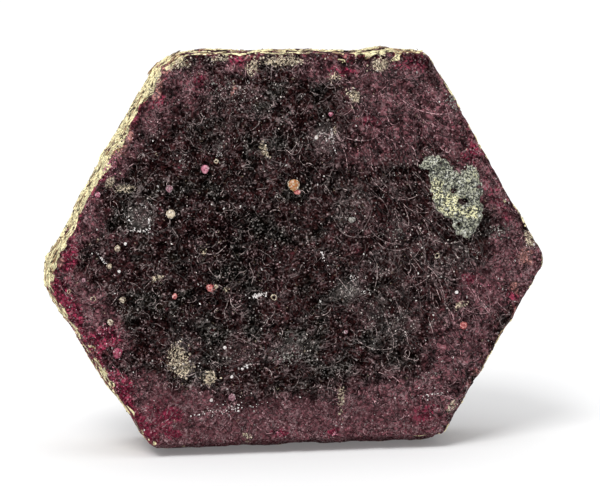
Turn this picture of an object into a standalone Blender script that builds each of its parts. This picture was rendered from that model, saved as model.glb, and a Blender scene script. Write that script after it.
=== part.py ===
"""Tabular ruby crystal with bits of its host rock still on it, standing on its lowest prism face.

The crystal is a six-sided plate. Its front is one basal face, which leans back a little, and its six
prism faces swell towards the middle of the plate. All sizes are in millimetres until the last step,
which scales the finished mesh to metres. In the crystal's own frame X runs to the right along the
basal face, Z runs up it, Y runs back along the c-axis, and the c-axis passes through X = Z = 0.
"""

import math

import bmesh
import bpy
from mathutils import Matrix, Vector, noise

METRES = 0.001

# Driving dimensions
THICKNESS = 9.0
LEAN = math.radians(6.0)
AXIS_HEIGHT = 19.1
FRONT_WEAR = 0.2
BACK_WEAR = 0.35
BACK_SHRINK = 0.95

# The prism faces: the way each one faces, seen from the front, its distance from the c-axis at the
# front, how far it swells at the middle of the plate, and how far it has drawn in at the back
PRISM_FACES = {
    "top": (89.5, 17.55, 0.3, 0.6),
    "upper_right": (29.4, 19.25, 0.3, 0.9),
    "lower_right": (-31.5, 20.75, 0.3, 0.9),
    "bottom": (-89.4, 18.0, 0.75, -0.2),
    "lower_left": (-148.5, 20.95, 0.25, 0.5),
    "upper_left": (150.0, 18.9, 0.3, 0.9),
}

# The worn corners between them, given the same way
WORN_CORNERS = {
    "top_right": (60.0, 21.1, 0.3, 0.7),
    "right": (0.0, 22.9, 0.3, 0.9),
    "lower_right": (-60.0, 22.1, 0.3, 0.6),
    "lower_left": (-120.0, 22.4, 0.3, 0.4),
    "left": (180.0, 22.5, 0.3, 0.8),
    "top_left": (120.0, 20.4, 0.3, 0.7),
}

# The net that the faces are made of: its step, how far it reaches before it is trimmed, the share of a
# step within which its points move onto the outline, the distance within which points count as one,
# and the depths of the rows of the side walls
NET_STEP = 0.9
NET_REACH = 26.0
SNAP_SHARE = 0.46
SAME_POINT = 0.001
WALL_ROWS = (0.25, 1.2, 2.2, 3.2, 4.2, 5.2, 6.2, 7.2, 8.0, 8.65)

# Roughness of the faces, as waves: the length over which each one changes, and its height
FRONT_WAVES = ((7.0, 0.14), (2.2, 0.1))
FRONT_RIM_WAVES = ((1.6, 0.12),)
WALL_WAVES = ((1.5, 0.12),)
MICA_WAVES = ((3.4, 0.3),)
MICA_SQUEEZE = 2.4
BACK_WAVES = ((4.0, 0.12), (1.8, 0.08))
BACK_RIM_WAVES = ((1.8, 0.2),)

# Growth ledges round the prism faces: depth behind the front, and how far each one steps out
LEDGES = ((1.7, 0.2), (3.2, -0.3), (4.7, 0.28), (6.2, -0.26), (7.4, 0.22))
LEDGE_WANDER = ((6.0, 0.35),)

# Growth terraces on the back: distance of each one's edge inside the rim, and its rise
BACK_TERRACES = ((2.4, 0.28), (5.6, 0.22), (9.4, 0.26))
TERRACE_SHIFT = Vector((1.6, 0.0, -1.1))
TERRACE_WANDER = ((5.0, 0.5),)

# Widths over which the relief fades: at a step of a ledge or terrace, and at the rims, where a point
# of the front takes only a share of the relief
STEP_WIDTH = 0.5
RIM_WIDTH = 1.0
RIM_SHARE = 0.25

# Outline of the host rock that is left on the front face, how far it stands proud, and the width of
# the slope round it
ROCK_OUTLINE = (
    (11.6, 7.7),
    (13.1, 8.1),
    (14.6, 6.8),
    (17.2, 6.4),
    (17.6, 2.5),
    (16.0, 0.3),
    (14.4, 1.5),
    (13.2, 3.4),
    (12.3, 5.3),
    (11.3, 6.8),
)
ROCK_HEIGHT = 0.4
ROCK_SLOPE = 0.7
ROCK_WAVES = ((1.3, 0.16),)

# Lumps and pits on the front face: where each one is, its half width and half height, and its rise
FRONT_LUMPS = (
    (-1.2, 16.6, 2.0, 0.9, 0.35),
    (7.9, 16.6, 0.9, 0.9, 0.35),
    (-9.6, 16.0, 1.6, 1.0, 0.3),
    (5.0, 14.0, 1.0, 0.9, 0.25),
    (-3.1, 8.9, 0.8, 1.5, 0.25),
    (2.8, 9.6, 1.4, 1.5, 0.3),
    (-0.2, 5.5, 0.8, 0.9, 0.3),
    (-14.6, 3.0, 1.1, 1.4, -0.45),
    (-11.0, -10.2, 1.5, 1.7, 0.3),
    (-7.6, -11.6, 1.2, 0.9, 0.3),
    (14.8, -5.4, 1.1, 0.7, -0.35),
    (18.9, 0.9, 0.8, 0.7, 0.3),
    (4.3, -14.2, 0.7, 1.5, 0.25),
    (-1.5, -9.4, 2.2, 1.1, -0.3),
    (-17.6, -9.0, 1.4, 1.2, 0.3),
)

# Chips out of the rim: where each one is, how deep behind the front, its radius, and how far it bites
# towards the c-axis. A bite below zero is a lump that stands out
RIM_CHIPS = (
    (-11.6, 17.2, 0.0, 1.8, 0.3),
    (18.4, -8.8, 0.4, 1.7, 0.35),
    (15.6, -13.2, 1.5, 2.0, 0.3),
    (22.0, -3.4, 4.6, 2.2, 0.5),
    (14.4, 13.0, 1.6, 1.8, -0.3),
    (22.4, 0.4, 3.0, 1.7, 0.35),
    (-20.2, 1.6, 0.0, 2.6, 0.5),
    (-13.2, -17.4, 5.0, 2.6, 0.7),
    (-4.0, 17.8, 5.5, 2.4, 0.7),
    (9.0, 17.6, 8.0, 2.6, 0.9),
    (-16.5, 10.5, 9.0, 2.8, 0.9),
    (19.4, 6.2, 8.5, 2.6, 0.8),
)

# The front of the lowest prism face is broken away, so that the crystal rests on the rear of that
# face: the depth behind the front edge where the break starts and ends, how high it is, the slope at
# its end, and the heights above the floor between which it fades out
BREAK_START = 0.3
BREAK_END = 3.9
BREAK_RISE = 0.35
BREAK_SLOPE = 0.6
BREAK_FADE = (0.8, 1.6)
BREAK_WAVES = ((2.5, 0.3),)


def facing(degrees):
    """Unit vector across the c-axis that points this way, seen from the front."""
    angle = math.radians(degrees)
    return Vector((math.cos(angle), 0.0, math.sin(angle)))


ALL_FACES = [*PRISM_FACES.values(), *WORN_CORNERS.values()]
SIDES = [(facing(turn), distance) for turn, distance, _, _ in ALL_FACES]
PROFILES = [(swell, draw_in) for _, _, swell, draw_in in ALL_FACES]


def ease(value):
    """Smooth step from 0 at 0 to 1 at 1."""
    value = max(0.0, min(1.0, value))
    return value * value * (3.0 - 2.0 * value)


def roughness(place, waves):
    """Height of these waves at a place."""
    return sum(height * noise.fractal(place / length, 0.9, 2.1, 3) for length, height in waves)


def inside_by(place):
    """How far a place across the c-axis lies inside the nearest side of the front outline."""
    return min(distance - place.dot(way) for way, distance in SIDES)


def crossing(side, other):
    """Where two sides of the outline meet, or None if they are nearly parallel."""
    (way, distance), (other_way, other_distance) = side, other
    across = way.x * other_way.z - way.z * other_way.x
    if abs(across) < 0.1:
        return None
    x = (distance * other_way.z - other_distance * way.z) / across
    z = (other_distance * way.x - distance * other_way.x) / across
    return Vector((x, 0.0, z))


def outline_corners():
    """The corners where the sides of the front outline meet, in no order."""
    meetings = [crossing(side, other) for index, side in enumerate(SIDES) for other in SIDES[index + 1 :]]
    return [place for place in meetings if place and inside_by(place) > -SAME_POINT]


def snap_to_outline(bm):
    """Moves the net's points that lie near a side or a corner onto it, so that trimming leaves no slivers."""
    taken = set()
    for corner in outline_corners():
        nearest = min(bm.verts, key=lambda vert: (vert.co - corner).length)
        nearest.co = corner
        taken.add(nearest)
    for vert in bm.verts:
        if vert in taken:
            continue
        for way, distance in SIDES:
            gap = vert.co.dot(way) - distance
            if abs(gap) < SNAP_SHARE * NET_STEP:
                vert.co -= way * gap


def basal_sheet(bm):
    """A square net on the front basal face, trimmed to the crystal's outline and facing the front."""
    count = round(2 * NET_REACH / NET_STEP)
    face_front = Matrix.Rotation(math.radians(90.0), 4, "X")
    bmesh.ops.create_grid(bm, x_segments=count, y_segments=count, size=NET_REACH, matrix=face_front)
    snap_to_outline(bm)
    for way, distance in SIDES:
        bmesh.ops.bisect_plane(
            bm,
            geom=bm.verts[:] + bm.edges[:] + bm.faces[:],
            dist=SAME_POINT / 2,
            plane_co=way * distance,
            plane_no=way,
            clear_outer=True,
        )


def bulge(profile, depth):
    """How far a side wall of this profile lies outside its front edge at this depth behind the front."""
    swell, draw_in = profile
    share = depth / THICKNESS
    return swell * math.sin(math.pi * share) - draw_in * share * share


def sides_touched(place):
    """The one or two sides of the outline that a point on the front rim lies on."""
    gaps = [abs(place.dot(way) - distance) for way, distance in SIDES]
    nearest = sorted(range(len(SIDES)), key=lambda index: gaps[index])
    return [index for index in nearest[:2] if gaps[index] < 20 * SAME_POINT]


def moved_out(place, touched, depth, wear):
    """Where a point on the front rim goes at this depth: out by the bulge, and in by the wear."""
    moved_sides = []
    for index in touched:
        way, _ = SIDES[index]
        moved_sides.append((way, place.dot(way) + bulge(PROFILES[index], depth) - wear))
    if len(moved_sides) == 2:
        moved = crossing(*moved_sides)
    else:
        way, distance = moved_sides[0]
        moved = place + way * (distance - place.dot(way))
    return Vector((moved.x, depth, moved.z))


def raise_walls(bm, rim):
    """Draws the prism faces back from the front rim row by row, and gives the last row's points."""
    ring = {vert: (vert.co.copy(), sides_touched(vert.co)) for vert in rim}
    for depth in (*WALL_ROWS, THICKNESS):
        edges = [e for e in bm.edges if e.verts[0] in ring and e.verts[1] in ring and e.is_boundary]
        made = bmesh.ops.extrude_edge_only(bm, edges=edges)["geom"]
        grown = {}
        for vert in (item for item in made if isinstance(item, bmesh.types.BMVert)):
            old = next(e.other_vert(vert) for e in vert.link_edges if e.other_vert(vert) in ring)
            place, touched = ring[old]
            wear = BACK_WEAR if depth == THICKNESS else 0.0
            vert.co = moved_out(place, touched, depth, wear)
            grown[vert] = (place, touched)
        ring = grown
    return ring


def point_outwards(bm):
    """Turns every face so that it faces out of the closed mesh."""
    bmesh.ops.recalc_face_normals(bm, faces=bm.faces[:])
    if bm.calc_volume(signed=True) < 0.0:
        bmesh.ops.reverse_faces(bm, faces=bm.faces[:])
    bm.normal_update()


def crystal_plate():
    """The whole plate with plain faces: front sheet, side walls, and a back sheet like the front one."""
    bm = bmesh.new()
    basal_sheet(bm)
    front = bm.verts[:]
    rim = [vert for vert in front if vert.is_boundary]
    copied = bmesh.ops.duplicate(bm, geom=bm.verts[:] + bm.edges[:] + bm.faces[:])
    back_of = {vert: copied["vert_map"][vert] for vert in front}
    for vert in back_of.values():
        vert.co = Vector((vert.co.x * BACK_SHRINK, THICKNESS, vert.co.z * BACK_SHRINK))
    home = {tuple(vert.co): vert for vert in rim}
    last_row = raise_walls(bm, rim)
    for vert, (place, _) in last_row.items():
        back_of[home[tuple(place)]].co = vert.co
    for vert in rim:
        vert.co = moved_out(vert.co, sides_touched(vert.co), 0.0, FRONT_WEAR)
    bmesh.ops.remove_doubles(bm, verts=bm.verts[:], dist=SAME_POINT)
    point_outwards(bm)
    return bm


def inside_outline(place, outline):
    """How far a place lies inside a closed outline on the front face. It is negative outside."""
    inside = False
    nearest = math.inf
    for (ax, az), (bx, bz) in zip(outline, outline[1:] + outline[:1], strict=True):
        start, edge = Vector((ax, 0.0, az)), Vector((bx - ax, 0.0, bz - az))
        along = max(0.0, min(1.0, (place - start).dot(edge) / edge.length_squared))
        nearest = min(nearest, (place - start - edge * along).length)
        if (az > place.z) != (bz > place.z) and place.x < ax + (place.z - az) * (bx - ax) / (bz - az):
            inside = not inside
    return nearest if inside else -nearest


def front_rise(place):
    """Height of the front face's relief over the flat basal plane."""
    rock = ease(inside_outline(place, ROCK_OUTLINE) / ROCK_SLOPE + 0.5)
    rise = roughness(place, FRONT_WAVES) + rock * (ROCK_HEIGHT + roughness(place, ROCK_WAVES))
    for x, z, half_width, half_height, height in FRONT_LUMPS:
        reach = math.hypot((place.x - x) / half_width, (place.z - z) / half_height)
        rise += height * (1.0 - ease(reach))
    return rise


def wall_rise(place):
    """Height of the relief of the prism faces: growth ledges all round, and lumps of mica crust."""
    wander = roughness(Vector((place.x, 0.0, place.z)), LEDGE_WANDER)
    rise = sum(step * ease((place.y - depth + wander) / STEP_WIDTH) for depth, step in LEDGES)
    along_the_layers = Vector((place.x, MICA_SQUEEZE * place.y, place.z))
    return rise + roughness(along_the_layers, MICA_WAVES) + roughness(place, WALL_WAVES)


def back_rise(place):
    """Height of the back face's relief: three growth terraces, each with the crystal's own outline."""
    depth_in = inside_by(place + TERRACE_SHIFT) + roughness(place, TERRACE_WANDER)
    rise = sum(height * ease((depth_in - edge) / STEP_WIDTH) for edge, height in BACK_TERRACES)
    return rise + roughness(place, BACK_WAVES)


def chip_bite(place):
    """How far the chips out of the rim pull a point towards the c-axis."""
    bite = 0.0
    for x, z, depth, radius, depth_cut in RIM_CHIPS:
        away = (place - Vector((x, depth, z))).length / radius
        bite += depth_cut * (1.0 - ease(away))
    return bite


def relief_at(vert):
    """How far a point moves for the relief of the face that it lies on, and for the chips."""
    place = vert.co
    outward = Vector((place.x, 0.0, place.z)).normalized()
    off_rim = ease(inside_by(place) / RIM_WIDTH)
    if place.y < SAME_POINT:
        share = RIM_SHARE + (1.0 - RIM_SHARE) * off_rim
        move = Vector((0.0, -front_rise(place) * share, 0.0))
        move += outward * roughness(place, FRONT_RIM_WAVES) * (1.0 - off_rim)
    elif place.y > THICKNESS - SAME_POINT:
        move = Vector((0.0, back_rise(place) * off_rim, 0.0))
        move += outward * roughness(place, BACK_RIM_WAVES) * (1.0 - off_rim)
    else:
        way = Vector((vert.normal.x, 0.0, vert.normal.z)).normalized()
        move = way * wall_rise(place) * ease(place.y / WALL_ROWS[1])
    return move - outward * chip_bite(place)


def add_relief(bm):
    """Moves every point by its relief."""
    moves = {vert: relief_at(vert) for vert in bm.verts}
    for vert, move in moves.items():
        vert.co += move


def stand_up(bm):
    """Leans the crystal back on its lowest prism face, breaks that face's front and wears its rear flat."""
    bmesh.ops.translate(bm, verts=bm.verts[:], vec=(0.0, 0.0, AXIS_HEIGHT))
    bmesh.ops.rotate(bm, verts=bm.verts[:], cent=(0.0, 0.0, 0.0), matrix=Matrix.Rotation(-LEAN, 3, "X"))
    whole_below, none_above = BREAK_FADE
    for vert in bm.verts:
        if vert.co.y > BREAK_START:
            share = ease((BREAK_END - vert.co.y) / BREAK_SLOPE)
            share *= ease((none_above - vert.co.z) / (none_above - whole_below))
            vert.co.z += share * (BREAK_RISE + roughness(vert.co, BREAK_WAVES))
        vert.co.z = max(vert.co.z, 0.0)


def centre_on_floor(bm):
    """Puts the origin under the middle of the crystal, on the surface it stands on."""
    xs = [vert.co.x for vert in bm.verts]
    ys = [vert.co.y for vert in bm.verts]
    middle = Vector(((min(xs) + max(xs)) / 2, (min(ys) + max(ys)) / 2, 0.0))
    bmesh.ops.translate(bm, verts=bm.verts[:], vec=-middle)


def plain_material(name, colour, gloss_loss):
    """A Principled material of one colour. The roughness is its loss of gloss, from 0 to 1."""
    material = bpy.data.materials.new(name)
    material.use_nodes = True
    shader = material.node_tree.nodes["Principled BSDF"]
    shader.inputs["Base Color"].default_value = (*colour, 1.0)
    shader.inputs["Roughness"].default_value = gloss_loss
    shader.inputs["Metallic"].default_value = 0.0
    return material


def build_crystal():
    """The ruby crystal as one object, in metres."""
    bm = crystal_plate()
    add_relief(bm)
    stand_up(bm)
    centre_on_floor(bm)
    bmesh.ops.triangulate(bm, faces=bm.faces[:])
    point_outwards(bm)
    bmesh.ops.scale(bm, vec=(METRES, METRES, METRES), verts=bm.verts[:])
    mesh = bpy.data.meshes.new("ruby_crystal")
    bm.to_mesh(mesh)
    bm.free()
    mesh.materials.append(plain_material("ruby", (0.09, 0.015, 0.03), 0.4))
    mesh.shade_smooth()
    mesh.set_sharp_from_angle(angle=math.radians(40.0))
    return bpy.data.objects.new("ruby_crystal", mesh)


def main():
    for obj in list(bpy.data.objects):
        bpy.data.objects.remove(obj)
    collection = bpy.data.collections.new("ruby crystal")
    bpy.context.scene.collection.children.link(collection)
    collection.objects.link(build_crystal())


main()
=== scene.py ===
"""Looks of the tabular ruby crystal: rough dark ruby, mica crust on its sides, host rock and grains.

The pieces are shaped in the crystal's own frame, in millimetres: X runs to the right along the front
face, Z runs up it, Y runs back through the plate, and the c-axis passes through X = Z = 0.
"""

import math
import random
from types import SimpleNamespace

import bmesh
import bpy
from mathutils import Euler, Matrix, Vector, noise
from mathutils.bvhtree import BVHTree


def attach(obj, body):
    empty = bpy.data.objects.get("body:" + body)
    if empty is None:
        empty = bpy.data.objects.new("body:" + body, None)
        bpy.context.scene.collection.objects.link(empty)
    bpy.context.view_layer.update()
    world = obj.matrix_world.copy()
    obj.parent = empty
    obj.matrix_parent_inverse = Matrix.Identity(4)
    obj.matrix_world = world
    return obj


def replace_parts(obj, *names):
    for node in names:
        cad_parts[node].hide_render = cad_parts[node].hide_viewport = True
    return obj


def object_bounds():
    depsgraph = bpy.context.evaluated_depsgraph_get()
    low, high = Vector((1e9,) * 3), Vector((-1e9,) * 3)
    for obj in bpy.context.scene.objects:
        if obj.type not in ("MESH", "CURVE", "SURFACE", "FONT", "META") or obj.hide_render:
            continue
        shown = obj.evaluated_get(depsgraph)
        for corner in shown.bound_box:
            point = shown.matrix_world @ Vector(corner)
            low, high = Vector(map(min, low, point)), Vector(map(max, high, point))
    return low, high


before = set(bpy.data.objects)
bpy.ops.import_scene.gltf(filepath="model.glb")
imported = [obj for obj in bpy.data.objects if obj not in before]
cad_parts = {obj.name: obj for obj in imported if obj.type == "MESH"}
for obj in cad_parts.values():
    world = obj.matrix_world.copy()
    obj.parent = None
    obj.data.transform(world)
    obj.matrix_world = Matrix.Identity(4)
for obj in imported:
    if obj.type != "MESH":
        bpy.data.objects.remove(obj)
CAD_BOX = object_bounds()

# How the crystal stands: its lean, how high the c-axis is up the front face, and how far the middle of
# the frame lies to the right of that face's foot and behind it. Lengths are in millimetres
MM = 0.001
LEAN = math.radians(6.0)
AXIS_HEIGHT = 19.1
MIDDLE_ASIDE = 0.166
MIDDLE_BEHIND = 6.527
THICKNESS = 9.0
TO_CRYSTAL = (
    Matrix.Translation((0.0, 0.0, -AXIS_HEIGHT))
    @ Matrix.Rotation(LEAN, 4, "X")
    @ Matrix.Translation((MIDDLE_ASIDE, MIDDLE_BEHIND, 0.0))
    @ Matrix.Scale(1.0 / MM, 4)
)
TO_FRAME = TO_CRYSTAL.inverted()
INTO_FACE = Vector((0.0, 1.0, 0.0))

# The six sides of the front face, then the corners between them: the way each one faces, its distance
# from the c-axis, how much of the wall behind it is covered with mica crust, and how crimson and how
# rusty the rim is there. Past BARE_DEPTH most of the wall is bare
SIDES = (
    (89.5, 17.55, 0.5, 0.25, 0.4),
    (29.4, 19.25, 0.3, 0.12, 0.2),
    (-31.5, 20.75, 0.3, 0.15, 0.5),
    (-89.4, 18.0, 0.1, 0.15, 0.1),
    (-148.5, 20.95, 0.42, 0.85, 0.5),
    (150.0, 18.9, 0.95, 0.55, 0.5),
    (60.0, 21.1, 0.35, 0.2, 0.2),
    (0.0, 22.9, 0.3, 0.25, 0.7),
    (-60.0, 22.1, 0.2, 0.15, 0.2),
    (-120.0, 22.4, 0.2, 0.5, 0.2),
    (180.0, 22.5, 0.7, 0.8, 0.6),
    (120.0, 20.4, 0.75, 0.3, 0.8),
)
BARE_DEPTH = 7.9

# Dusky wine-red parts of the front face, as spots: middle, half width and half height, turn in degrees,
# and how strong the spot is. The lists of spots below are given the same way
GLOWS = (
    (-18.6, -6.0, 2.4, 6.0, 32.0, 0.8),
    (-14.4, -13.8, 3.2, 3.4, 30.0, 1.0),
    (-10.0, -15.8, 6.0, 3.8, 0.0, 0.95),
    (0.0, -17.2, 12.0, 4.2, 0.0, 0.95),
    (8.0, -16.2, 9.0, 4.8, 8.0, 0.95),
    (12.0, -14.6, 3.8, 3.6, 10.0, 1.0),
    (15.0, -9.6, 3.8, 6.0, -30.0, 0.72),
    (17.6, -4.4, 4.0, 3.2, 0.0, 0.8),
    (20.4, -2.0, 3.6, 4.4, 0.0, 0.95),
    (19.0, 3.6, 2.2, 4.8, 30.0, 0.8),
    (16.4, 8.0, 2.4, 4.0, 30.0, 0.8),
    (13.4, 12.0, 3.6, 5.0, 30.0, 0.8),
    (9.0, 11.6, 6.0, 5.2, -20.0, 0.62),
    (6.0, 8.6, 3.6, 3.2, 0.0, 0.42),
    (8.6, 15.4, 6.0, 2.6, 0.0, 0.7),
    (2.4, 16.2, 3.4, 1.8, 0.0, 0.6),
    (-5.4, 16.6, 2.4, 1.4, 0.0, 0.65),
    (-10.0, 14.8, 4.2, 2.8, 0.0, 0.6),
    (-13.2, 12.4, 2.6, 3.4, -30.0, 0.65),
    (-16.6, 8.6, 2.2, 4.4, -30.0, 1.0),
    (-19.4, 2.4, 1.9, 3.8, -30.0, 0.85),
    (-17.6, -0.6, 4.2, 5.0, 0.0, 0.28),
    (9.0, 2.0, 6.5, 6.0, 0.0, 0.2),
    (12.0, -4.0, 5.0, 4.0, 0.0, 0.22),
    (-8.0, 11.0, 4.0, 3.0, 0.0, 0.16),
)

# Crimson and magenta parts of the front face, and rusty brown ones
CRIMSONS = (
    (-20.9, -4.9, 2.8, 1.3, -60.0, 1.0),
    (-20.6, -0.6, 1.8, 1.1, 60.0, 0.8),
    (-18.0, -8.0, 1.6, 1.4, 0.0, 1.0),
    (-16.5, -12.6, 2.6, 1.5, -60.0, 0.8),
    (-12.8, -15.4, 2.8, 1.9, 0.0, 0.5),
    (-11.6, -15.2, 1.5, 0.9, 0.0, 0.8),
    (-11.7, -16.9, 1.1, 0.7, 0.0, 0.7),
    (-2.0, -17.0, 1.0, 0.6, 0.0, 0.6),
    (3.4, -17.2, 0.9, 0.5, 0.0, 0.6),
    (11.8, -15.6, 2.4, 1.4, 20.0, 0.5),
    (16.0, -3.4, 1.4, 0.9, -10.0, 0.5),
    (19.9, -4.8, 0.9, 0.8, 0.0, 0.5),
    (18.8, 3.7, 3.2, 1.0, -60.0, 0.4),
    (16.0, 8.4, 1.5, 1.2, 0.0, 0.55),
    (14.8, 11.0, 2.6, 1.1, -60.0, 0.2),
    (10.6, 16.6, 2.8, 0.9, 0.0, 0.42),
    (7.0, 11.4, 1.2, 0.9, 0.0, 0.35),
    (4.4, 15.9, 1.8, 0.9, 0.0, 0.6),
    (-5.5, 17.2, 0.9, 0.7, 0.0, 0.7),
    (-8.6, 15.2, 0.9, 0.9, 0.0, 0.45),
    (-12.4, 13.6, 0.9, 1.4, -30.0, 0.5),
)
RUSTS = (
    (-12.6, 14.6, 0.8, 1.4, -20.0, 1.0),
    (-15.9, 9.7, 2.6, 1.0, 60.0, 1.0),
    (-5.6, 13.9, 0.3, 1.2, -10.0, 0.7),
    (-16.8, -12.2, 3.4, 1.2, -60.0, 0.35),
    (21.5, -1.2, 0.8, 1.3, 0.0, 1.0),
    (20.2, -4.2, 0.9, 0.9, 0.0, 0.8),
    (-21.4, -0.6, 0.8, 1.0, 0.0, 0.8),
)

# Where the threads of the face run aslant, by THREAD_SLANT degrees, and where in level waves
THREAD_SLANT = 54.0
ASLANT = ((11.0, 6.0, 10.0, 13.0, 0.0, 1.0), (14.0, -5.0, 8.0, 8.0, 0.0, 0.9))
IN_WAVES = ((1.0, -10.0, 13.0, 5.0, 0.0, 1.0), (4.0, -4.0, 9.0, 5.0, 10.0, 0.5))

# The blackest parts of the face, those of even colour, and those that a pale veil lightens
BLACKS = (
    (-5.4, 1.0, 6.0, 4.6, 0.0, 0.75),
    (-7.0, -4.0, 6.0, 3.6, 0.0, 0.55),
    (1.0, 8.0, 4.4, 6.0, 0.0, 0.4),
    (-10.0, -7.4, 5.0, 2.6, -10.0, 0.4),
    (5.0, -12.0, 7.0, 1.6, 4.0, 0.5),
    (9.6, 5.4, 2.6, 1.8, 0.0, 0.6),
    (-2.6, -12.0, 3.0, 1.4, 0.0, 0.45),
    (-5.9, 2.6, 0.75, 0.75, 0.0, 1.0),
    (-10.2, -1.9, 0.9, 0.8, 0.0, 0.9),
    (11.3, 6.4, 0.7, 0.9, 0.0, 0.9),
    (13.6, 0.4, 1.0, 0.6, -50.0, 0.8),
    (1.4, 5.7, 0.9, 0.7, 0.0, 0.8),
)
CALMS = (
    (0.0, -17.4, 17.0, 4.4, 0.0, 1.0),
    (-12.4, -15.6, 4.4, 3.4, 0.0, 1.0),
    (17.0, -4.0, 3.6, 3.0, 0.0, 0.5),
)
VEILS = (
    (-14.3, 3.1, 1.2, 1.6, 0.0, 0.8),
    (2.7, 9.7, 1.6, 1.5, 0.0, 1.0),
    (-6.9, 9.4, 1.0, 1.0, 0.0, 0.7),
    (-13.1, 10.9, 1.2, 1.2, 0.0, 0.6),
    (-4.6, 13.2, 4.4, 2.0, 0.0, 0.4),
    (4.8, -4.1, 2.2, 1.2, 10.0, 0.8),
    (9.4, -7.5, 2.2, 1.6, 0.0, 0.5),
    (-5.4, -9.8, 3.0, 1.4, 0.0, 0.5),
    (-0.8, -9.5, 2.4, 1.2, 0.0, 0.7),
    (6.7, -6.4, 1.8, 1.2, -30.0, 0.6),
    (9.4, 1.2, 1.8, 1.6, 0.0, 0.5),
    (5.2, 3.0, 2.2, 2.4, -40.0, 0.4),
    (14.6, -2.0, 3.0, 2.4, 0.0, 0.35),
    (-6.4, 11.0, 1.0, 0.7, 0.0, 0.6),
    (-10.6, 8.2, 0.8, 0.6, 0.0, 0.6),
    (-16.6, 8.6, 2.2, 1.0, 60.0, 0.7),
    (-18.6, -9.6, 3.0, 0.5, -60.0, 0.5),
    (-2.6, 7.2, 1.2, 0.7, 30.0, 0.5),
    (-9.6, -6.6, 2.0, 0.7, -10.0, 0.45),
)

# The patch of host rock on the front face: its corners; the middle, half width and step of the grid
# that it is cut from; how far it stands proud and is sunk in; its yellow parts and its pits, which sink in
# and are painted dark as shade
ROCK_OUTLINE = (
    (11.2, 7.1),
    (11.7, 7.6),
    (12.3, 8.1),
    (13.2, 8.2),
    (14.2, 7.4),
    (15.0, 6.5),
    (15.3, 6.4),
    (15.9, 7.2),
    (16.7, 6.9),
    (17.2, 6.0),
    (17.3, 4.5),
    (17.4, 3.4),
    (17.3, 2.2),
    (16.8, 1.3),
    (15.9, 0.2),
    (15.3, 0.4),
    (14.6, 0.9),
    (14.3, 2.0),
    (13.5, 2.5),
    (12.9, 3.2),
    (12.4, 4.4),
    (12.3, 6.0),
    (12.1, 6.7),
    (11.4, 6.8),
)
ROCK_MIDDLE = (14.3, 4.2)
ROCK_HALF = 4.4
ROCK_STEP = 0.11
ROCK_PROUD = 0.26
ROCK_SUNK = 0.18
ROCK_YELLOWS = (
    (12.9, 4.9, 1.0, 1.3, 0.0, 0.9),
    (14.2, 3.6, 1.9, 1.5, -30.0, 0.9),
    (15.9, 2.8, 1.3, 0.8, 0.0, 0.9),
    (16.4, 6.0, 1.0, 1.2, 0.0, 0.5),
)
ROCK_PITS = (
    (15.4, 3.8, 0.56, 0.4, 0.0, 1.0),
    (14.5, 4.8, 0.34, 0.3, 0.0, 1.0),
    (17.2, 3.9, 0.3, 0.4, 0.0, 0.9),
    (16.9, 5.1, 0.26, 0.3, 0.0, 0.8),
    (13.4, 7.3, 0.4, 0.2, 0.0, 0.6),
    (15.0, 1.7, 0.3, 0.25, 0.0, 0.7),
)

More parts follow.
